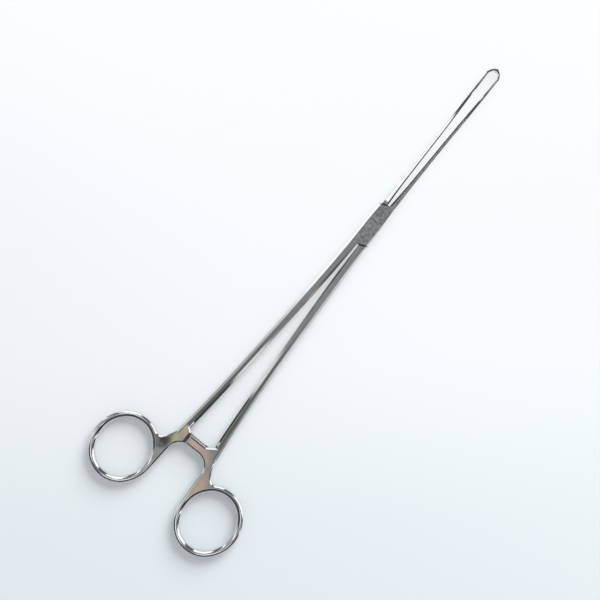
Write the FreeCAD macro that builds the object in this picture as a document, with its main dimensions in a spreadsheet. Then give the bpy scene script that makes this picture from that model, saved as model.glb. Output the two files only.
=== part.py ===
import FreeCAD, Part
import os
import re
import Sketcher

# A long pair of tissue forceps with a box lock, closed on its ratchet. Millimetres.
# X runs across the handles, Y from the finger rings to the jaw tips, Z up from the table.
# The origin is on the joint pin's axis, in the bottom face of the box lock.
# The box half runs from the left ring to the right jaw and carries the box and the pin.
# The through half runs from the right ring, through the box, to the left jaw.

sizes = {
    # Box lock
    "box_width": 8.2,
    "box_jaw_width": 7.4,  # at the end where the jaws leave
    "box_length": 22.4,
    "box_taper_start": 3.0,  # the sides draw in from here towards the jaws
    "box_thickness": 5.0,
    "box_edge_bevel": 0.75,
    "crotch_gap": 0.9,  # between the shanks, and between the jaws, right at the box
    "seam_reach": 9.8,  # pin axis to the oblique seam, measured square to the seam
    "seam_slope": 22.0,  # degrees from the X axis
    "seam_gap": 0.3,
    "tongue_width": 4.9,
    "tongue_thickness": 1.9,
    "tongue_tilt": 12.0,  # degrees from the Y axis when closed
    "tongue_side_play": 0.15,
    "tongue_face_play": 0.05,
    "opening_angle": 40.0,  # degrees, where the tongue meets the box's open stops
    # Joint pin, pressed into both cheeks and ground flush
    "pin_diameter": 2.6,
    "pin_running_gap": 0.04,  # radial, in the tongue
    # Shank sections: distance from the pin, middle's distance from the centre plane
    "shank_upper_reach": 33.0,
    "shank_upper_offset": 2.97,
    "shank_upper_width": 4.0,
    "shank_upper_depth": 4.5,
    "shank_upper_bevel": 1.0,
    "shank_middle_reach": 62.0,
    "shank_middle_offset": 4.5,
    "shank_middle_width": 3.6,
    "shank_middle_depth": 4.1,
    "shank_middle_bevel": 1.05,
    "shank_lower_reach": 93.0,
    "shank_lower_offset": 6.35,
    "shank_lower_width": 3.35,
    "shank_lower_depth": 4.1,
    "shank_lower_bevel": 1.05,
    "shank_heel_reach": 124.65,
    "shank_heel_offset": 9.3,
    "shank_heel_width": 3.7,
    "shank_heel_depth": 4.5,
    "shank_heel_bevel": 0.95,
    # Jaw sections, on the other side of the pin
    "jaw_throat_reach": 24.0,
    "jaw_throat_offset": 2.18,
    "jaw_throat_width": 2.25,
    "jaw_throat_depth": 4.2,
    "jaw_throat_bevel": 0.55,
    "jaw_blade_reach": 50.0,
    "jaw_blade_offset": 2.38,
    "jaw_blade_width": 1.85,
    "jaw_blade_depth": 3.4,
    "jaw_blade_bevel": 0.45,
    "jaw_flare_reach": 71.0,
    "jaw_flare_offset": 2.78,
    "jaw_flare_width": 1.45,
    "jaw_flare_depth": 3.8,
    "jaw_flare_bevel": 0.38,
    "jaw_brow_reach": 83.5,
    "jaw_brow_offset": 2.88,
    "jaw_brow_width": 1.05,
    "jaw_brow_depth": 5.0,
    "jaw_brow_bevel": 0.25,
    # Toothed tips, hooked inwards so that the end faces meet
    "tip_bend_radius": 4.6,  # outside of the hook
    "tip_tooth_count": 6,  # teeth on the box half's tip, one fewer on the other
    "tip_tooth_height": 0.6,
    "tip_tooth_land": 0.12,
    "tip_gap": 0.4,  # between the two toothed faces
    # Finger rings: the hole, the wire round it, the ring's middle seen from the heel of the shank.
    # The left ring sits a little nearer the box than the right one, as forged.
    "ring_hole_width": 24.2,
    "ring_hole_length": 27.0,
    "ring_wire_width": 2.95,
    "ring_shift": 15.6,  # outwards
    "left_ring_drop": 20.4,
    "right_ring_drop": 22.7,
    "ring_crotch_angle": 128.0,  # degrees round the ring, where the shank's outer side lands
    "ring_crotch_round": 2.4,
    "heel_flare_radius": 15.0,  # outer side, from the heel of the shank to the ring
    "arch_radius": 6.3,  # inner side, from the rack to the ring
    "arch_lean": 3.5,  # degrees, the inner side's slant where it runs into the ring
    "handle_edge_round": 1.0,
    "ring_hole_round": 1.5,
    # Ratchet: a rack on each shank, the two lying over each other
    "rack_width": 4.4,
    "rack_overhang": 0.5,  # the lower rack shows this much above the upper one
    "rack_depth": 2.25,
    "rack_gap": 0.1,  # between the two racks' tooth crests
    "rack_pitch": 1.3,
    "rack_tooth_count": 5,
    "rack_tooth_depth": 0.7,
    "rack_tooth_land": 0.15,
    "rack_end_land": 0.45,  # plain end past the last tooth
    "rack_stop_gap": 0.2,  # a rack's end to the other shank's root block
    "shoulder_start": 3.8,  # from the centre plane, where the rack widens to its root
    "shoulder_rise": 2.6,
}

# Worked out from the sizes in the same sheet
worked_out = {
    "handle_depth": "2 * rack_depth + rack_gap",
    "ring_middle_x": "shank_heel_offset + ring_shift",
    "oval_shift": "(ring_hole_length - ring_hole_width) / 2 / (2 - sqrt(2))",
    "oval_end_radius": "ring_hole_length / 2 - oval_shift",
    "oval_side_radius": "ring_hole_width / 2 + oval_shift",
    "heel_inside": "shank_heel_offset - shank_heel_width / 2",
    "rack_first": "rack_pitch * (rack_tooth_count + 2) / 2",
    "rack_reach": "rack_first + rack_end_land",
    "rack_stop": "rack_reach + rack_stop_gap",
    "rack_top": "rack_width / 2 - shank_heel_reach",
    "rack_bottom": "-rack_width / 2 - shank_heel_reach",
    "shoulder_at_stop": "rack_top + (rack_stop - shoulder_start) * shoulder_rise"
    " / (heel_inside - shoulder_start)",
    "edge_round": "min(handle_edge_round; 0.4 * ring_wire_width)",
    "hole_round": "min(ring_hole_round; 0.55 * ring_wire_width)",
    "crotch_x": "ring_middle_x + (oval_end_radius + ring_wire_width) * cos(ring_crotch_angle * 1 deg)",
}
for hand in ("left", "right"):
    worked_out |= {
        f"{hand}_ring_y": f"-shank_heel_reach - {hand}_ring_drop",
        f"{hand}_crotch_y": f"{hand}_ring_y + oval_shift"
        " + (oval_end_radius + ring_wire_width) * sin(ring_crotch_angle * 1 deg)",
        f"{hand}_flank_x": "ring_middle_x + oval_shift"
        " - (oval_side_radius + ring_wire_width) * cos(arch_lean * 1 deg)",
        f"{hand}_flank_y": f"{hand}_ring_y - (oval_side_radius + ring_wire_width) * sin(arch_lean * 1 deg)",
        f"{hand}_arch_end_y": "rack_bottom - arch_radius - arch_radius * sin(arch_lean * 1 deg)",
        f"{hand}_arch_end_x": f"{hand}_flank_x"
        f" - ({hand}_arch_end_y - {hand}_flank_y) * tan(arch_lean * 1 deg)",
        f"{hand}_arch_middle": f"{hand}_arch_end_x - arch_radius * cos(arch_lean * 1 deg)",
        f"{hand}_arch_start": "rack_bottom - arch_radius"
        f" + sqrt(arch_radius ^ 2 - (rack_stop - {hand}_arch_middle) ^ 2)",
    }

# The handle's outline starts this much inside the heel of the shank
SKIN = 0.02
# How far a cut runs past the metal it cuts
CLEAR = 1.0

ALIAS = re.compile(r"\b(" + "|".join([*sizes, *worked_out]) + r")\b")
MIDDLE = "box_thickness / 2"

doc = FreeCAD.newDocument("tissue_forceps")
sheet = doc.addObject("Spreadsheet::Sheet", "sizes")
for row, (alias, number) in enumerate([*sizes.items(), *worked_out.items()], 1):
    sheet.set(f"A{row}", alias.replace("_", " "))
    sheet.set(f"B{row}", f"={number}" if alias in worked_out else str(number))
    sheet.setAlias(f"B{row}", alias)
doc.recompute()


def formula(text):
    return ALIAS.sub(r"sizes.\1", text)


def value(text):
    return float(sheet.evalExpression(formula(text)))


def bind(thing, name, text):
    thing.setExpression(name, formula(text))


def new_sketch(body, name, role, offset="0"):
    sketch = body.newObject("Sketcher::SketchObject", name)
    plane = next(f for f in body.Origin.OriginFeatures if f.Role == role)
    sketch.AttachmentSupport = (plane, [""])
    sketch.MapMode = "FlatFace"
    bind(sketch, "AttachmentOffset.Base.z", offset)
    return sketch


def constrain(sketch, kind, *where, text):
    number = sketch.addConstraint(Sketcher.Constraint(kind, *where, value(text)))
    bind(sketch, f"Constraints[{number}]", text)


def arc_between(start, end, radius, turn):
    """The arc from start to end that turns left (1) or right (-1), as the sketcher draws it."""
    chord = end - start
    middle = (start + end) / 2
    rise = max(radius**2 - (chord.Length / 2) ** 2, 0.0) ** 0.5
    centre = middle + FreeCAD.Vector(-chord.y, chord.x, 0) / chord.Length * rise * turn
    circle = Part.Circle(centre, FreeCAD.Vector(0, 0, 1), radius)
    first, last = (start, end) if turn > 0 else (end, start)
    return Part.ArcOfCircle(circle, circle.parameter(first), circle.parameter(last))


def outline(sketch, steps):
    """A closed outline. Each step is a corner (x, y) and, for an arc to the next one, (radius, turn)."""
    corners = [FreeCAD.Vector(value(step[0]), value(step[1]), 0) for step in steps]
    ends = []
    for number, step in enumerate(steps):
        start = corners[number]
        end = corners[(number + 1) % len(corners)]
        if len(step) == 2:
            sketch.addGeometry(Part.LineSegment(start, end))
            ends.append((1, 2))
        else:
            radius, turn = step[2]
            drawn = sketch.addGeometry(arc_between(start, end, value(radius), turn))
            ends.append((1, 2) if turn > 0 else (2, 1))
            constrain(sketch, "Radius", drawn, text=radius)
    for number, step in enumerate(steps):
        after = (number + 1) % len(steps)
        sketch.addConstraint(
            Sketcher.Constraint("Coincident", number, ends[number][1], after, ends[after][0])
        )
        constrain(sketch, "DistanceX", -1, 1, number, ends[number][0], text=step[0])
        constrain(sketch, "DistanceY", -1, 1, number, ends[number][0], text=step[1])


def circle_at_pin(sketch, radius):
    drawn = sketch.addGeometry(Part.Circle(FreeCAD.Vector(0, 0, 0), FreeCAD.Vector(0, 0, 1), value(radius)))
    sketch.addConstraint(Sketcher.Constraint("Coincident", drawn, 3, -1, 1))
    constrain(sketch, "Radius", drawn, text=radius)


def prism(body, kind, name, sketch, length):
    """A Pad, or a Pocket that cuts the same way, along the sketch's normal."""
    feature = body.newObject(kind, name)
    feature.Profile = sketch
    feature.Reversed = kind == "PartDesign::Pocket"
    bind(feature, "Length", length)
    return feature


def layer(body, kind, name, steps, bottom, height):
    """A prism of an outline in plan, from one level up."""
    sketch = new_sketch(body, f"{name}_plan", "XY_Plane", bottom)
    outline(sketch, steps)
    return prism(body, kind, name, sketch, height)


def section(body, name, along, offset, width, depth, bevel):
    """A rectangle with bevelled corners, square to Y, its middle at mid height."""
    sketch = new_sketch(body, name, "XZ_Plane", f"-({along})")
    left = f"{offset} - {width} / 2"
    right = f"{offset} + {width} / 2"
    low = f"{MIDDLE} - {depth} / 2"
    high = f"{MIDDLE} + {depth} / 2"
    outline(
        sketch,
        [
            (f"{left} + {bevel}", low),
            (f"{right} - {bevel}", low),
            (right, f"{low} + {bevel}"),
            (right, f"{high} - {bevel}"),
            (f"{right} - {bevel}", high),
            (f"{left} + {bevel}", high),
            (left, f"{high} - {bevel}"),
            (left, f"{low} + {bevel}"),
        ],
    )
    return sketch


def station(body, name, side, way):
    """One section of a shank (way -1) or a jaw (way 1), from the sizes that carry its name."""
    return section(
        body,
        f"{name}_section",
        f"{way} * {name}_reach",
        f"{side} * {name}_offset",
        f"{name}_width",
        f"{name}_depth",
        f"{name}_bevel",
    )


def loft(body, name, sections):
    feature = body.newObject("PartDesign::AdditiveLoft", name)
    feature.Profile = sections[0]
    feature.Sections = sections[1:]
    return feature


def dress(body, kind, name, test, size, amount):
    """A Fillet or Chamfer of the edges that pass the test."""
    doc.recompute()
    base = body.Tip
    edges = [f"Edge{number}" for number, edge in enumerate(base.Shape.Edges, 1) if test(edge)]
    feature = body.newObject(kind, name)
    feature.Base = (base, edges)
    bind(feature, size, amount)
    doc.recompute()
    return feature


def level_at(edge, *heights):
    """True for an edge that lies at one of these heights."""
    return any(all(abs(corner.Z - height) < SKIN for corner in edge.Vertexes) for height in heights)


def turned(steps):
    """The same outline, half a turn round the pin."""
    return [(f"-({x})", f"-({y})") for x, y in steps]


def cosine(angle):
    return f"cos(({angle}) * 1 deg)"


def sine(angle):
    return f"sin(({angle}) * 1 deg)"


def seam_at(x, reach):
    """Y of the lower oblique seam at x, for a seam that stands this far from the pin axis."""
    return f"(({x}) * {sine('seam_slope')} - ({reach})) / {cosine('seam_slope')}"


def tongue_side_at(y, half, angle):
    """X of the left side of a band through the pin axis, tilted by the angle."""
    return f"-(({half}) + ({y}) * {sine(angle)}) / {cosine(angle)}"


BOX_END = "(box_length / 2)"
PAST_END = f"({BOX_END} + {CLEAR})"
PAST_SIDE = "(box_width * 0.6)"
CROTCH = "(crotch_gap / 2)"
PAST_FACE = f"(box_thickness / 2 + {CLEAR})"
THROUGH = f"(box_thickness + 2 * {CLEAR})"


def add_block(body):
    """The lock's outer block, drawn in towards the jaws, with its long edges bevelled."""
    flank = [
        ("-box_width / 2", f"-{BOX_END}"),
        ("box_width / 2", f"-{BOX_END}"),
        ("box_width / 2", "box_taper_start"),
        ("box_jaw_width / 2", BOX_END),
        ("-box_jaw_width / 2", BOX_END),
        ("-box_width / 2", "box_taper_start"),
    ]
    layer(body, "PartDesign::Pad", "block", flank, "0", "box_thickness")
    thickness = value("box_thickness")
    end = value(BOX_END)

    def long_edge(edge):
        return level_at(edge, 0.0, thickness) and abs(edge.CenterOfMass.y) < end - SKIN

    dress(body, "PartDesign::Chamfer", "block_bevel", long_edge, "Size", "box_edge_bevel")


def add_arm(body, name, side, way, end, width, stations):
    """A shank (way -1) or a jaw (way 1), lofted from the end of the block through its stations."""
    root = section(
        body,
        f"{name}_root_section",
        f"{way} * {end}",
        f"{side} * ({width} / 2 + {CROTCH}) / 2",
        f"({width} / 2 - {CROTCH})",
        "box_thickness",
        "box_edge_bevel",
    )
    loft(body, name, [root, *(station(body, f"{name}_{place}", side, way) for place in stations)])


def add_tip(body, side):
    """The end of the jaw, bent inwards round an upright axis."""
    axis = "(jaw_brow_offset + jaw_brow_width / 2 - tip_bend_radius)"
    sketch = section(
        body,
        "tip_section",
        "jaw_brow_reach",
        f"{side} * (tip_bend_radius - jaw_brow_width / 2)",
        "jaw_brow_width",
        "jaw_brow_depth",
        "jaw_brow_bevel",
    )
    bind(sketch, "AttachmentOffset.Base.x", f"{side} * {axis}")
    bend = body.newObject("PartDesign::Revolution", "tip_bend")
    bend.Profile = sketch
    bend.ReferenceAxis = (sketch, ["V_Axis"])
    bend.Reversed = side < 0
    bind(bend, "Angle", f"acos(-(tip_tooth_height + {axis}) / tip_bend_radius) / 1 deg + 6")


def cut_tip_teeth(body, side):
    """Cuts the end of the hook to a row of teeth. Side 1 has all of them, side -1 fits between."""
    pitch = "(jaw_brow_depth / tip_tooth_count)"
    low = f"({MIDDLE} - jaw_brow_depth / 2)"
    crest = f"{side} * (tip_gap - tip_tooth_height) / 2"
    root = f"{side} * (tip_gap + tip_tooth_height) / 2"
    behind = f"-{side} * tip_bend_radius"
    land = "tip_tooth_land / 2"
    first = 0.5 if side > 0 else 1.0
    teeth = sizes["tip_tooth_count"] - (side < 0)
    steps = [(behind, f"{low} - {CLEAR}"), (root, f"{low} - {CLEAR}")]
    if side < 0:
        steps.append((root, f"{low} + {pitch} / 2"))
    for number in range(teeth):
        peak = f"{low} + {pitch} * {first + number}"
        if number:
            steps.append((root, f"{peak} - {pitch} / 2"))
        elif side > 0:
            steps.append((root, low))
        steps.append((crest, f"{peak} - {land}"))
        steps.append((crest, f"{peak} + {land}"))
    steps.append((root, f"{low} + {pitch} * {first + teeth - 0.5}"))
    steps.append((root, f"{low} + jaw_brow_depth + {CLEAR}"))
    steps.append((behind, f"{low} + jaw_brow_depth + {CLEAR}"))
    end = f"(jaw_brow_reach + tip_bend_radius + {CLEAR})"
    sketch = new_sketch(body, "tip_teeth_profile", "XZ_Plane", f"-{end}")
    outline(sketch, steps)
    prism(body, "PartDesign::Pocket", "tip_teeth", sketch, f"tip_bend_radius + {CLEAR}")


def add_pin_hole(body, radius):
    sketch = new_sketch(body, "pin_hole_plan", "XY_Plane", f"-{CLEAR}")
    circle_at_pin(sketch, radius)
    prism(body, "PartDesign::Pocket", "pin_hole", sketch, THROUGH)


def add_limbs(body, side):
    """The shank on this side and the jaw on the other side of the centre plane."""
    add_arm(body, "shank", side, -1, BOX_END, "box_width", ("upper", "middle", "lower", "heel"))
    add_arm(body, "jaw", -side, 1, BOX_END, "box_jaw_width", ("throat", "blade", "flare", "brow"))
    add_tip(body, -side)
    cut_tip_teeth(body, -side)


def make_box_blade(body):
    """Left shank, box and right jaw. The box keeps two cheeks and two side walls."""
    add_block(body)
    corner = [
        (f"-{CROTCH}", f"-{PAST_END}"),
        (PAST_SIDE, f"-{PAST_END}"),
        (PAST_SIDE, seam_at(PAST_SIDE, "seam_reach")),
        (f"-{CROTCH}", seam_at(f"-{CROTCH}", "seam_reach")),
    ]
    layer(body, "PartDesign::Pocket", "lower_corner", corner, f"-{CLEAR}", THROUGH)
    layer(body, "PartDesign::Pocket", "upper_corner", turned(corner), f"-{CLEAR}", THROUGH)
    half = "(tongue_width / 2 + tongue_side_play)"
    opened = "(tongue_tilt + opening_angle)"
    between = "(tongue_tilt + opening_angle / 2)"
    reach = f"({half} / {cosine('opening_angle / 2')})"
    wall = [
        (tongue_side_at(f"-{PAST_END}", half, "tongue_tilt"), f"-{PAST_END}"),
        (f"-{reach} * {cosine(between)}", f"-{reach} * {sine(between)}"),
        (f"-{PAST_SIDE}", f"({PAST_SIDE} * {cosine(opened)} - {half}) / {sine(opened)}"),
        (f"-{PAST_SIDE}", PAST_END),
    ]
    slot = "(tongue_thickness + 2 * tongue_face_play)"
    layer(body, "PartDesign::Pocket", "slot", wall + turned(wall), f"{MIDDLE} - {slot} / 2", slot)
    add_pin_hole(body, "pin_diameter / 2")
    add_limbs(body, -1)


def make_through_blade(body):
    """Right shank, the thin tongue that passes through the box, and left jaw."""
    add_block(body)
    reach = "(seam_reach + seam_gap)"
    lower = [(f"-{PAST_SIDE}", seam_at(f"-{PAST_SIDE}", reach)), (PAST_SIDE, seam_at(PAST_SIDE, reach))]
    relief = lower + turned(lower)
    layer(body, "PartDesign::Pocket", "top_relief", relief, f"{MIDDLE} + tongue_thickness / 2", PAST_FACE)
    below = f"{MIDDLE} - tongue_thickness / 2 - {PAST_FACE}"
    layer(body, "PartDesign::Pocket", "bottom_relief", relief, below, PAST_FACE)
    half = "(tongue_width / 2)"
    spread = cosine("seam_slope - tongue_tilt")
    side_cut = [
        (f"-{PAST_SIDE}", f"-{PAST_END}"),
        (CROTCH, f"-{PAST_END}"),
        (CROTCH, seam_at(CROTCH, reach)),
        (
            f"({reach} * {sine('tongue_tilt')} - {half} * {cosine('seam_slope')}) / {spread}",
            f"-({reach} * {cosine('tongue_tilt')} + {half} * {sine('seam_slope')}) / {spread}",
        ),
        (f"-{PAST_SIDE}", f"({PAST_SIDE} * {cosine('tongue_tilt')} - {half}) / {sine('tongue_tilt')}"),
    ]
    layer(body, "PartDesign::Pocket", "left_cut", side_cut, f"-{CLEAR}", THROUGH)
    layer(body, "PartDesign::Pocket", "right_cut", turned(side_cut), f"-{CLEAR}", THROUGH)
    add_pin_hole(body, "pin_diameter / 2 + pin_running_gap")
    add_limbs(body, 1)


def oval_corners(side, hand, extra):
    """The ring's oval, this much outside the hole: four arcs that meet at 45 degrees.
    Each entry is a corner with the arc from it, in the order in which the side's ring is drawn."""
    end_radius = f"(oval_end_radius + {extra})"
    side_radius = f"(oval_side_radius + {extra})"
    across = f"{end_radius} / sqrt(2)"
    along = f"(oval_shift + {end_radius} / sqrt(2))"
    inner = f"{side} * (ring_middle_x - {across})"
    outer = f"{side} * (ring_middle_x + {across})"
    return [
        (inner, f"{hand}_ring_y - {along}", (end_radius, side)),
        (outer, f"{hand}_ring_y - {along}", (side_radius, side)),
        (outer, f"{hand}_ring_y + {along}", (end_radius, side)),
        (inner, f"{hand}_ring_y + {along}", (side_radius, side)),
    ]


def make_handle(body, side):
    """Finger ring, the web up to the heel of the shank, and the toothed arm that reaches over
    the centre plane. Side 1 lies on top with its teeth down, side -1 below with its teeth up."""
    hand = "right" if side > 0 else "left"
    bottom = f"({MIDDLE} - handle_depth / 2)"
    arm_top = "rack_top" if side > 0 else "(rack_top + rack_overhang)"
    ring = oval_corners(side, hand, "ring_wire_width")
    heel_outside = f"(shank_heel_offset + shank_heel_width / 2 - {SKIN})"
    web = [
        (f"{side} * heel_inside", "rack_top + shoulder_rise"),
        (f"{side} * rack_stop", "shoulder_at_stop"),
        (f"{side} * rack_stop", f"{hand}_arch_start", ("arch_radius", -side)),
        (f"{side} * {hand}_arch_end_x", f"{hand}_arch_end_y"),
        (f"{side} * {hand}_flank_x", f"{hand}_flank_y", ring[3][2]),
        *ring[:3],
        (f"{side} * crotch_x", f"{hand}_crotch_y", ("heel_flare_radius", -side)),
        (f"{side} * {heel_outside}", "-shank_heel_reach"),
        (f"{side} * shank_heel_offset", "-shank_heel_reach"),
        (f"{side} * shank_heel_offset", "rack_top + shoulder_rise"),
    ]
    layer(body, "PartDesign::Pad", "web_and_ring", web, bottom, "handle_depth")
    arm_start = f"shoulder_start - ({arm_top} - rack_top) * (shoulder_start - heel_inside) / shoulder_rise"
    arm = [
        (f"{side} * heel_inside", "rack_top + shoulder_rise"),
        (f"{side} * ({arm_start})", arm_top),
        (f"-{side} * rack_reach", arm_top),
        (f"-{side} * rack_reach", "rack_bottom"),
        (f"{side} * {hand}_arch_middle", "rack_bottom", ("arch_radius", -side)),
        (f"{side} * rack_stop", f"{hand}_arch_start"),
        (f"{side} * heel_inside", f"{hand}_arch_start"),
    ]
    parting = f"({MIDDLE} + {side} * rack_gap / 2)"
    arm_floor = parting if side > 0 else f"{parting} - rack_depth"
    layer(body, "PartDesign::Pad", "arm", arm, arm_floor, "rack_depth")
    crotch = FreeCAD.Vector(side * value("crotch_x"), value(f"{hand}_crotch_y"), value(MIDDLE))

    def at_crotch(edge):
        return edge.CenterOfMass.distanceToPoint(crotch) < SKIN

    dress(body, "PartDesign::Fillet", "crotch_round", at_crotch, "Radius", "ring_crotch_round")
    floor = value(bottom)
    roof = floor + value("handle_depth")
    heel_x = value("shank_heel_offset")
    heel_y = -value("shank_heel_reach")
    shoulder_y = value("rack_top + shoulder_rise")

    def rim(edge):
        spot = edge.CenterOfMass
        across = side * spot.x
        buried = (
            abs(across - heel_x) < SKIN
            or abs(spot.y - shoulder_y) < SKIN
            or (abs(spot.y - heel_y) < SKIN and across > heel_x)
        )
        return level_at(edge, floor, roof) and not buried

    dress(body, "PartDesign::Fillet", "edge_rounding", rim, "Radius", "edge_round")
    hole = oval_corners(side, hand, "0")
    layer(body, "PartDesign::Pocket", "ring_hole", hole, f"{bottom} - {CLEAR}", THROUGH)
    middle_x = side * value("ring_middle_x")
    middle_y = value(f"{hand}_ring_y")
    half_width = value("ring_hole_width") / 2
    half_length = value("ring_hole_length") / 2

    def hole_rim(edge):
        spot = edge.CenterOfMass
        inside = abs(spot.x - middle_x) < half_width and abs(spot.y - middle_y) < half_length
        return level_at(edge, floor, roof) and inside

    dress(body, "PartDesign::Fillet", "hole_rounding", hole_rim, "Radius", "hole_round")
    past = f"{parting} - {side} * {CLEAR}"
    ramp = f"(rack_pitch - rack_tooth_land) * (1 + {CLEAR} / rack_tooth_depth)"
    sketch = new_sketch(body, "tooth_profile", "XZ_Plane", f"-({arm_top} + {CLEAR})")
    outline(
        sketch,
        [
            (f"-{side} * rack_first", past),
            (f"-{side} * rack_first", f"{parting} + {side} * rack_tooth_depth"),
            (f"-{side} * (rack_first - {ramp})", past),
        ],
    )
    across_rack = f"{arm_top} - rack_bottom + 2 * {CLEAR}"
    notch = prism(body, "PartDesign::Pocket", "tooth_notch", sketch, across_rack)
    row = body.newObject("PartDesign::LinearPattern", "tooth_row")
    row.Originals = [notch]
    axis = next(f for f in body.Origin.OriginFeatures if f.Role == "X_Axis")
    row.Direction = (axis, [""])
    row.Reversed = side < 0
    bind(row, "Length", "rack_pitch * (rack_tooth_count - 1)")
    bind(row, "Occurrences", "rack_tooth_count")
    body.Tip = row


def new_body(name):
    return doc.addObject("PartDesign::Body", name)


def make_half(label, make_blade, side):
    """Joins the blade and the handle of one half into its single forging."""
    blade = new_body(f"{label}_blade")
    make_blade(blade)
    handle = new_body(f"{label}_handle")
    make_handle(handle, side)
    half = doc.addObject("Part::MultiFuse", label)
    half.Shapes = [blade, handle]
    half.Refine = True
    return half


def make_pin(label):
    body = new_body(label)
    sketch = new_sketch(body, "pin_plan", "XY_Plane")
    circle_at_pin(sketch, "pin_diameter / 2")
    prism(body, "PartDesign::Pad", "pin_shaft", sketch, "box_thickness")
    return body


parts = [
    make_half("box_half", make_box_blade, -1),
    make_half("through_half", make_through_blade, 1),
    make_pin("joint_pin"),
]
doc.recompute()

for thing in doc.Objects:
    if {"Invalid", "Error"} & set(thing.State):
        raise RuntimeError(f"{thing.Label} did not build: {thing.State}")
for part in parts:
    if part.Shape.isNull() or not part.Shape.isValid() or len(part.Shape.Solids) != 1:
        raise RuntimeError(f"{part.Label} is not one sound solid")

os.makedirs("parts", exist_ok=True)
for part in parts:
    part.Shape.exportStep(f"parts/{part.Label}.step")
    print(part.Label, round(part.Shape.Volume, 2), "cubic mm")
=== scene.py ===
import math
import bpy
from mathutils import Matrix, Vector

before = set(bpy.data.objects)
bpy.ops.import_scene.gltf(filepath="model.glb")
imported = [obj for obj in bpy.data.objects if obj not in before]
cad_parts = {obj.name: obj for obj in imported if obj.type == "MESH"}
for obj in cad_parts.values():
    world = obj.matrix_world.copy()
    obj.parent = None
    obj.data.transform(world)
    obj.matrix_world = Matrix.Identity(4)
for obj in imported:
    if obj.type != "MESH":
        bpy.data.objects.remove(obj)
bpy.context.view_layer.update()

print("stage: frame loaded", sorted(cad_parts))


class Wire:  # one output socket, so that shader maths reads as sums
    def __init__(self, graph, socket):
        self.graph = graph
        self.socket = socket

    def maths(self, operation, *terms):
        node = self.graph.node("ShaderNodeMath", {"operation": operation}, dict(enumerate(terms)))
        return Wire(self.graph, node.outputs[0])

    def __add__(self, other):
        return self.maths("ADD", self, other)

    def __radd__(self, other):
        return self.maths("ADD", other, self)

    def __sub__(self, other):
        return self.maths("SUBTRACT", self, other)

    def __rsub__(self, other):
        return self.maths("SUBTRACT", other, self)

    def __mul__(self, other):
        return self.maths("MULTIPLY", self, other)

    def __rmul__(self, other):
        return self.maths("MULTIPLY", other, self)

    def __abs__(self):
        return self.maths("ABSOLUTE", self)

    def ramp(self, low, high):  # 0 below low, 1 above high, smooth between
        settings = {"interpolation_type": "SMOOTHSTEP", "clamp": True}
        node = self.graph.node("ShaderNodeMapRange", settings, {"Value": self, 1: low, 2: high})
        return Wire(self.graph, node.outputs["Result"])


class Graph:  # one node tree, emptied first
    def __init__(self, tree):
        self.tree = tree
        tree.nodes.clear()

    def node(self, kind, settings=None, sockets=None):
        made = self.tree.nodes.new(kind)
        for name, setting in (settings or {}).items():
            if name == "stops":
                elements = made.color_ramp.elements
                elements[0].position, elements[0].color = setting[0]
                elements[-1].position, elements[-1].color = setting[-1]
                for place, colour in setting[1:-1]:
                    elements.new(place).color = colour
            else:
                setattr(made, name, setting)
        for name, given in (sockets or {}).items():
            if isinstance(given, Wire):
                self.tree.links.new(given.socket, made.inputs[name])
            else:
                made.inputs[name].default_value = given
        return made

    def out(self, kind, output, settings=None, sockets=None):
        return Wire(self, self.node(kind, settings, sockets).outputs[output])

    def split(self, vector):
        node = self.node("ShaderNodeSeparateXYZ", None, {0: vector})
        return [Wire(self, socket) for socket in node.outputs]

    def vectorMaths(self, operation, output, *vectors):
        settings = {"operation": operation}
        return self.out("ShaderNodeVectorMath", output, settings, dict(enumerate(vectors)))

    def blendColours(self, factor, first, second):
        settings = {"data_type": "RGBA"}
        return self.out("ShaderNodeMix", 2, settings, {0: factor, 6: first, 7: second})

    def ladder(self, place, rungs):  # a colour for each place from the first rung to the last
        low, high = rungs[0][0], rungs[-1][0]
        stops = [((at - low) / (high - low), colour) for at, colour in rungs]
        factor = (place - low) * (1 / (high - low))
        return self.out("ShaderNodeValToRGB", "Color", {"stops": stops}, {"Fac": factor})

    def noise(self, place, lumps):  # lumps are how many to a metre, and how many layers finer
        scale, detail = lumps
        sockets = {"Vector": place, "Scale": scale, "Detail": detail}
        return self.out("ShaderNodeTexNoise", 0, None, sockets)


def newMaterial(name):
    made = bpy.data.materials.new(name)
    made.use_nodes = True
    return made, Graph(made.node_tree)


def tone(red, green, blue):
    return (red, green, blue, 1.0)


def grey(level):
    return tone(level, level, level)


photoView = {
    "axisSlope": 51.28,  # degrees, tips up to the right
    "pivotPixel": (373.1, 225.3),  # where the joint pin lies in the photo
    "imageSize": 600,
    "metresPerPixel": 0.0004417,
    "lens": 85.0,
    "sensor": 36.0,
    "clipStart": 0.01,
    "midHeight": 0.0025,  # the scale holds here, halfway up the steel
}


def photoAxes():  # the photo's right and up, level with the table
    slope = math.radians(photoView["axisSlope"])
    right = Vector((math.sin(slope), math.cos(slope), 0))
    up = Vector((-math.cos(slope), math.sin(slope), 0))
    return right, up


def addCamera():
    right, up = photoAxes()
    half = photoView["imageSize"] / 2
    pivotX, pivotY = photoView["pivotPixel"]
    scale = photoView["metresPerPixel"]
    aim = (right * (half - pivotX) + up * (pivotY - half)) * scale
    distance = photoView["imageSize"] * scale * photoView["lens"] / photoView["sensor"]
    data = bpy.data.cameras.new("photoCamera")
    data.lens = photoView["lens"]
    data.sensor_width = photoView["sensor"]
    data.clip_start = photoView["clipStart"]
    camera = bpy.data.objects.new("photoCamera", data)
    bpy.context.collection.objects.link(camera)
    turn = Matrix((right, up, (0, 0, 1))).transposed().to_4x4()
    place = Vector((aim.x, aim.y, photoView["midHeight"] + distance))
    camera.matrix_world = Matrix.Translation(place) @ turn
    bpy.context.scene.camera = camera


addCamera()
print("stage: camera")

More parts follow.
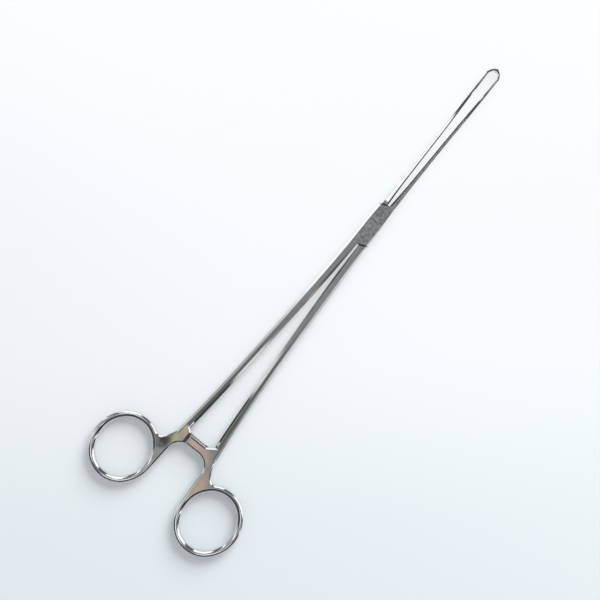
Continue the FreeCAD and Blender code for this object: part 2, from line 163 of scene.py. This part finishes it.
keyLamp = {
    "place": (-0.1, 1.2, 0.8),  # low behind the tips, so that shadows fall towards the rings
    "size": 1.0,
    "power": 22.0,
}


def addKeyLamp():
    data = bpy.data.lights.new("keyPanel", "AREA")
    data.size = keyLamp["size"]
    data.energy = keyLamp["power"]
    panel = bpy.data.objects.new("keyPanel", data)
    panel.location = keyLamp["place"]
    panel.rotation_euler = (-Vector(keyLamp["place"])).to_track_quat("-Z", "Y").to_euler()
    panel.visible_glossy = False  # the steel sees the room below instead
    bpy.context.collection.objects.link(panel)


room = {
    "tentTone": tone(0.52, 0.52, 0.53),  # even light from all sides
    "backdropTone": tone(0.92, 0.955, 0.97),  # what the camera sees past the table
    "wallRound": [  # what the polished steel sees round it, in degrees from the tips' side
        (-180, tone(0.03, 0.035, 0.04)),
        (-132, tone(0.04, 0.045, 0.05)),
        (-124, grey(1.10)),
        (-113, grey(1.10)),
        (-107, tone(0.32, 0.33, 0.33)),
        (-97, tone(0.42, 0.43, 0.43)),
        (-90, tone(0.45, 0.47, 0.48)),
        (-88.4, tone(0.75, 0.77, 0.78)),
        (-87.2, grey(1.25)),
        (-81.4, grey(1.25)),
        (-80.7, tone(0.10, 0.11, 0.12)),
        (-64, tone(0.16, 0.17, 0.18)),
        (-58, grey(1.30)),
        (-17, grey(1.40)),
        (-11, tone(0.12, 0.13, 0.15)),
        (11, tone(0.12, 0.13, 0.15)),
        (17, grey(1.40)),
        (58, grey(1.30)),
        (64, tone(0.10, 0.11, 0.12)),
        (80.7, tone(0.07, 0.08, 0.09)),
        (81.4, grey(1.20)),
        (84.5, grey(1.20)),
        (86.5, tone(0.76, 0.79, 0.82)),
        (88.4, tone(0.40, 0.42, 0.44)),
        (90, tone(0.12, 0.125, 0.13)),
        (97, tone(0.03, 0.03, 0.035)),
        (180, tone(0.03, 0.035, 0.04)),
    ],
    "backWall": tone(0.22, 0.23, 0.24),  # plain, behind the rings, and met from low views only
    "backWallRound": (100, 118),
    "backWallStart": (0.18, 0.24),
    "backWallEnd": (0.52, 0.60),
    "overheadAlong": [  # straight above, from over the rings to over the tips
        (-0.25, tone(0.05, 0.055, 0.06)),
        (-0.205, tone(0.08, 0.085, 0.09)),
        (-0.195, tone(1.05, 1.08, 1.10)),
        (-0.173, tone(1.05, 1.08, 1.10)),
        (-0.164, tone(0.38, 0.40, 0.41)),
        (-0.12, tone(0.22, 0.24, 0.24)),
        (-0.09, tone(0.125, 0.13, 0.12)),
        (-0.05, tone(0.16, 0.175, 0.17)),
        (-0.01, tone(0.25, 0.285, 0.285)),
        (0.04, tone(0.23, 0.26, 0.265)),
        (0.07, tone(0.34, 0.385, 0.395)),
        (0.105, tone(0.15, 0.17, 0.18)),
        (0.15, tone(0.075, 0.085, 0.09)),
        (0.25, tone(0.06, 0.07, 0.075)),
    ],
    "overheadSpots": [  # middle, reach, soft share and colour of the things high above
        ((0.006, -0.122), (0.014, 0.013), 0.8, tone(0.66, 0.47, 0.40)),
        ((0.0175, -0.130), (0.007, 0.012), 0.8, tone(0.56, 0.44, 0.37)),
        ((0.026, -0.147), (0.007, 0.018), 0.8, tone(0.56, 0.43, 0.35)),
        ((-0.006, -0.118), (0.007, 0.018), 0.9, tone(0.58, 0.48, 0.35)),
        ((-0.0095, -0.131), (0.006, 0.006), 0.6, tone(0.55, 0.56, 0.36)),
        ((-0.0140, -0.1350), (0.0070, 0.0060), 0.5, tone(0.03, 0.015, 0.03)),
        ((-0.0377, -0.1794), (0.0070, 0.0120), 0.5, tone(0.10, 0.12, 0.16)),
        ((0.0475, -0.1790), (0.0070, 0.0120), 0.5, tone(0.10, 0.12, 0.16)),
        ((-0.0450, -0.1347), (0.0160, 0.0100), 0.6, tone(0.95, 0.96, 1.0)),
        ((0.0630, -0.1425), (0.0090, 0.0130), 0.6, tone(0.80, 0.82, 0.88)),
    ],
    "overheadCard": tone(1.25, 1.26, 1.27),  # a white strip beyond the tips
    "overheadCardStart": (0.152, 0.155),
    "overheadCardEnd": (0.168, 0.172),
    "overheadStart": (0.93, 0.955),  # height at which the walls give way to what hangs above
}


def addRoom():
    world = bpy.data.worlds.new("paleTent")
    world.use_nodes = True
    bpy.context.scene.world = world
    graph = Graph(world.node_tree)
    way = graph.out("ShaderNodeTexCoord", "Generated")
    across, along, height = graph.split(way)

    overhead = graph.ladder(along, room["overheadAlong"])
    for middle, reach, soft, colour in room["overheadSpots"]:
        stretch = (1 / reach[0], 1 / reach[1], 0)
        spot = graph.vectorMaths("MULTIPLY", 0, way, stretch)
        centre = (middle[0] / reach[0], middle[1] / reach[1], 0)
        away = graph.vectorMaths("DISTANCE", 1, spot, centre)
        overhead = graph.blendColours(1 - away.ramp(1 - soft, 1.0), overhead, colour)
    onCard = along.ramp(*room["overheadCardStart"]) * (1 - along.ramp(*room["overheadCardEnd"]))
    overhead = graph.blendColours(onCard, overhead, room["overheadCard"])

    turn = across.maths("ARCTAN2", across, along) * math.degrees(1)
    walls = graph.ladder(turn, room["wallRound"])
    band = height.ramp(*room["backWallStart"]) * (1 - height.ramp(*room["backWallEnd"]))
    behind = abs(turn).ramp(*room["backWallRound"]) * band
    walls = graph.blendColours(behind, walls, room["backWall"])
    mirrored = graph.blendColours(height.ramp(*room["overheadStart"]), walls, overhead)

    path = graph.node("ShaderNodeLightPath")
    scattered = Wire(graph, path.outputs["Diffuse Depth"]).ramp(0.0, 1.0)
    inSteel = Wire(graph, path.outputs["Is Glossy Ray"]) * (1 - scattered)
    inView = Wire(graph, path.outputs["Is Camera Ray"])
    plain = graph.blendColours(inView, room["tentTone"], room["backdropTone"])
    shown = graph.blendColours(inSteel, plain, mirrored)
    back = graph.out("ShaderNodeBackground", 0, None, {"Color": shown, "Strength": 1.0})
    graph.node("ShaderNodeOutputWorld", None, {"Surface": back})


addKeyLamp()
addRoom()
print("stage: light")

tableTop = {
    "reach": 0.6,
    "middle": (-0.0046, -0.046, 0),  # under the camera
    "fadeOut": (0.20, 0.34),  # where the table gives way to the backdrop, metres from its middle
    # painted shade: the table is coloured darker and bluer towards the lower edge of the view
    "alongPhoto": [  # from the photo's lower edge to its upper one, metres from the joint pin
        (-0.20, tone(0.845, 0.905, 0.935)),
        (-0.13, tone(0.86, 0.92, 0.95)),
        (-0.06, tone(0.92, 0.965, 0.985)),
        (0.0, tone(0.925, 0.965, 0.985)),
        (0.10, tone(0.955, 0.985, 0.99)),
    ],
    "roughness": 0.6,
    "specular": 0.2,
    "ownLight": (0.05, 0.80),  # share that no shadow darkens: at the rings, and added by the jaws
    "ownLightAlong": (-0.11, 0.05),
}


def addTable():
    reach = tableTop["reach"]
    corners = [(-reach, -reach, 0), (reach, -reach, 0), (reach, reach, 0), (-reach, reach, 0)]
    mesh = bpy.data.meshes.new("tableTop")
    mesh.from_pydata(corners, [], [(0, 1, 2, 3)])
    table = bpy.data.objects.new("tableTop", mesh)
    bpy.context.collection.objects.link(table)

    made, graph = newMaterial("paleTable")
    spot = graph.out("ShaderNodeTexCoord", "Object")
    photoUp = photoAxes()[1]
    rise = graph.vectorMaths("DOT_PRODUCT", 1, spot, photoUp)
    colour = graph.ladder(rise, tableTop["alongPhoto"])
    sockets = {
        "Base Color": colour,
        "Roughness": tableTop["roughness"],
        "Specular IOR Level": tableTop["specular"],
    }
    lit = graph.out("ShaderNodeBsdfPrincipled", 0, None, sockets)
    glow = graph.out("ShaderNodeEmission", 0, None, {"Color": colour, "Strength": 1.0})

    path = graph.node("ShaderNodeLightPath")
    seen = Wire(graph, path.outputs["Is Camera Ray"]) + Wire(graph, path.outputs["Is Glossy Ray"])
    atRings, byJaws = tableTop["ownLight"]
    along = graph.split(spot)[1]
    share = seen * (atRings + byJaws * along.ramp(*tableTop["ownLightAlong"]))
    surface = graph.out("ShaderNodeMixShader", 0, None, {0: share, 1: lit, 2: glow})

    away = graph.vectorMaths("DISTANCE", 1, spot, tableTop["middle"])
    beyond = graph.out("ShaderNodeBsdfTransparent", 0)
    ends = away.ramp(*tableTop["fadeOut"])
    surface = graph.out("ShaderNodeMixShader", 0, None, {0: ends, 1: surface, 2: beyond})
    graph.node("ShaderNodeOutputMaterial", None, {"Surface": surface})
    mesh.materials.append(made)


addTable()
print("stage: table")

steel = {
    "bright": tone(0.82, 0.82, 0.81),
    "dull": tone(0.60, 0.605, 0.61),  # lightly worn and clouded places
    "blotched": tone(0.36, 0.38, 0.38),  # on the satin box faces
    "paintedShade": tone(0.03, 0.028, 0.026),  # painted shade, darkening the seams and the gaps between the ratchet teeth
    "roughness": 0.022,
    "satinRoughness": 0.24,
    "ripple": 0.000007,  # unevenness that hand polishing leaves
    "lumps": {  # how many to a metre, and how many layers finer
        "clouds": (260.0, 4.0),
        "swell": (150.0, 1.0),
        "grain": (6000.0, 2.0),
        "scuffs": (900.0, 5.0),
        "blotches": (900.0, 3.0),
    },
    "grainStretch": (1.0, 0.05, 1.0),  # grain and scuffs run along the instrument
    "flatTilt": (0.93, 0.99),  # how nearly level a face is, to count as one of the flats
    "boxReach": 0.0112,
    "boxFade": (-0.0006, 0.0012),  # where the satin runs out, past the ends of the box
    "jawGrind": (0.060, 0.068),  # where the ground face of the right jaw runs out
    "jawSide": (0.0, 0.0004),
    "jawRoot": (0.0, 0.001),
    "jawReach": 0.06,  # added to the reach of the satin on that jaw
    "seamSlope": 22.0,
    "seamReach": 0.00995,
    "seamSide": (-5e-6, -4e-6),  # the painted seam shade lies right of the middle on the rear seam, left on the front one
    "seamShadeReach": (0.000225, 0.00045),  # painted shade: a dark line along the two seams
    "seamShadeShare": 0.9,
    "webEdge": (-0.120, -0.116),  # rack, webs and rings lie beyond this
    "cloudBand": (0.35, 0.7),
    "cloudShare": 0.3,
    "scuffBand": (0.5, 0.75),
    "scuffShare": 0.15,
    "satinShare": 0.2,
    "blotchBand": (0.42, 0.62),
    "blotchShare": 0.6,
    "shelterDepth": 0.0009,  # how near other steel has to be, to shelter a place
    "shelterBand": (0.05, 0.55),  # open share of a place's surroundings, from full painted shade to none
    "shelterSamples": 4,
    "cloudRoughness": 0.012,
    "grainRoughness": 0.006,
    "swellHeight": (0.15, 0.85),  # on all the steel, and added on the flat webs
    "cloudHeight": 0.06,
    "grainHeight": 0.02,
    "edgeRound": 0.00016,  # radius of the shine along crisp edges
    "edgeSamples": 6,
    "sharpAngle": 28.0,  # edges that turn by more degrees stay crisp
    "flatWeight": 85,  # above 50, large faces lead the shading round them
}


def makeSteel(name, allSatin):
    made, graph = newMaterial(name)
    spot = graph.out("ShaderNodeTexCoord", "Object")
    across, along = graph.split(spot)[:2]
    tilt = graph.split(graph.out("ShaderNodeNewGeometry", "True Normal"))[2]
    flat = abs(tilt).ramp(*steel["flatTilt"])
    lumps = steel["lumps"]
    brushed = graph.vectorMaths("MULTIPLY", 0, spot, steel["grainStretch"])
    clouds = graph.noise(spot, lumps["clouds"])
    swell = graph.noise(spot, lumps["swell"])
    blotches = graph.noise(spot, lumps["blotches"])
    grain = graph.noise(brushed, lumps["grain"])
    scuffs = graph.noise(brushed, lumps["scuffs"])

    # the satin: both box faces, and the face of the right jaw that is ground with them
    jawGrind = across.ramp(*steel["jawSide"]) * (1 - along.ramp(*steel["jawGrind"]))
    reach = steel["boxReach"] + steel["jawReach"] * jawGrind * along.ramp(*steel["jawRoot"])
    boxFace = flat * (1 - (abs(along) - reach).ramp(*steel["boxFade"]))
    satin = 1.0 if allSatin else boxFace

    # painted shade: a dark line along the two seams, widening the shade in them
    slope = math.radians(steel["seamSlope"])
    square = across * math.sin(slope) - along * math.cos(slope)
    nearSeam = abs(abs(square) - steel["seamReach"])
    seamShade = flat * (1 - nearSeam.ramp(*steel["seamShadeReach"]))
    seamShade = seamShade * (across * square).ramp(*steel["seamSide"])

    wornClouds = clouds.ramp(*steel["cloudBand"]) * steel["cloudShare"]
    worn = wornClouds + scuffs.ramp(*steel["scuffBand"]) * steel["scuffShare"]
    colour = graph.blendColours(worn + satin * steel["satinShare"], steel["bright"], steel["dull"])
    blotched = blotches.ramp(*steel["blotchBand"]) * satin * steel["blotchShare"]
    colour = graph.blendColours(blotched, colour, steel["blotched"])
    # painted shade: the colour darkens where other steel is near, as in crevices
    settings = {"samples": steel["shelterSamples"]}
    sockets = {"Distance": steel["shelterDepth"]}
    openness = graph.out("ShaderNodeAmbientOcclusion", "AO", settings, sockets)
    hollowShade = 1 - openness.ramp(*steel["shelterBand"])
    colour = graph.blendColours(hollowShade, colour, steel["paintedShade"])
    colour = graph.blendColours(seamShade * steel["seamShadeShare"], colour, steel["paintedShade"])

    rough = steel["roughness"] + steel["cloudRoughness"] * clouds + steel["grainRoughness"] * grain
    rough = rough + satin * (steel["satinRoughness"] - steel["roughness"])

    web = 1 - along.ramp(*steel["webEdge"])
    overall, onWebs = steel["swellHeight"]
    height = swell * (overall + onWebs * flat * web)
    height = height + steel["cloudHeight"] * clouds + steel["grainHeight"] * grain
    settings = {"samples": steel["edgeSamples"]}
    edges = graph.out("ShaderNodeBevel", 0, settings, {"Radius": steel["edgeRound"]})
    sockets = {"Strength": 1.0, "Distance": steel["ripple"], "Height": height, "Normal": edges}
    skin = graph.out("ShaderNodeBump", 0, None, sockets)
    sockets = {"Base Color": colour, "Metallic": 1.0, "Roughness": rough, "Normal": skin}
    surface = graph.out("ShaderNodeBsdfPrincipled", 0, None, sockets)
    graph.node("ShaderNodeOutputMaterial", None, {"Surface": surface})
    return made


def dressNode(name, made):
    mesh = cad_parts[name].data
    mesh.materials.clear()
    mesh.materials.append(made)
    mesh.polygons.foreach_set("material_index", [0] * len(mesh.polygons))
    mesh.polygons.foreach_set("use_smooth", [True] * len(mesh.polygons))
    mesh.set_sharp_from_angle(angle=math.radians(steel["sharpAngle"]))
    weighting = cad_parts[name].modifiers.new("flatFaces", "WEIGHTED_NORMAL")
    weighting.keep_sharp = True  # large flats stay true mirrors up to their rounded rims
    weighting.weight = steel["flatWeight"]
    print("node", name, len(mesh.vertices), "points", len(mesh.polygons), "faces")


polished = makeSteel("polishedSteel", False)
satinGround = makeSteel("satinSteel", True)
for half in ("box_half", "through_half"):
    dressNode(half, polished)
dressNode("joint_pin", satinGround)
print("stage: steel")

bpy.context.scene.view_settings.view_transform = "Standard"
